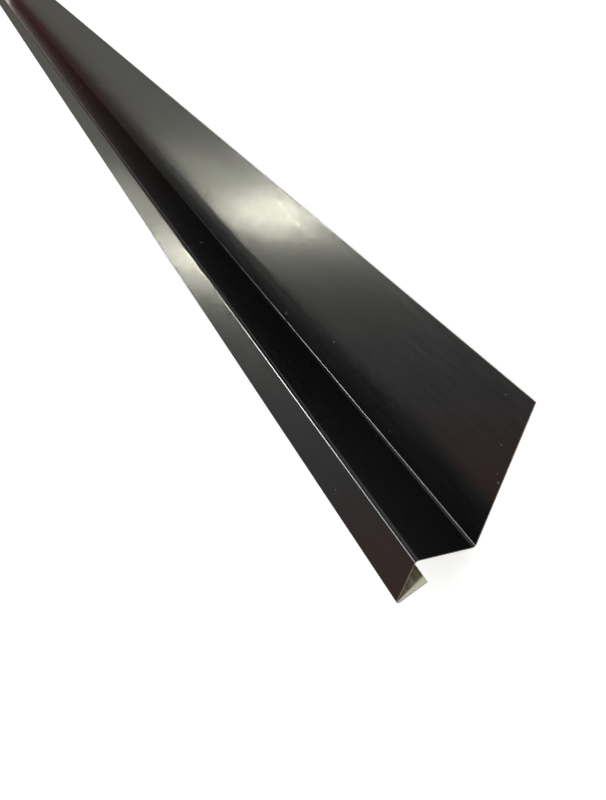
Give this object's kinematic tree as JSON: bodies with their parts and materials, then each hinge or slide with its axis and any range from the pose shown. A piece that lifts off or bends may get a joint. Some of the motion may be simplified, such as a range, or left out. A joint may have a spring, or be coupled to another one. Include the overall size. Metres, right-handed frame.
{
  "type": "plinth flashing",
  "caption": "Length of folded coated sheet: a flat wall leg, a ledge square to it, and a drip face with its lip returned underneath.",
  "frame": {"origin": "centre of the wall leg's back face, which lies on the floor", "axes": "+X along the stock, +Y across the wall leg towards its free edge, +Z out of the wall leg's painted face"},
  "size_m": [3, 0.1351, 0.0448],
  "materials": {
    "coated_sheet": "satin black coil coating"
  },
  "bodies": {
    "root": {"flashing": "coated_sheet"}
  },
  "joints": []
}
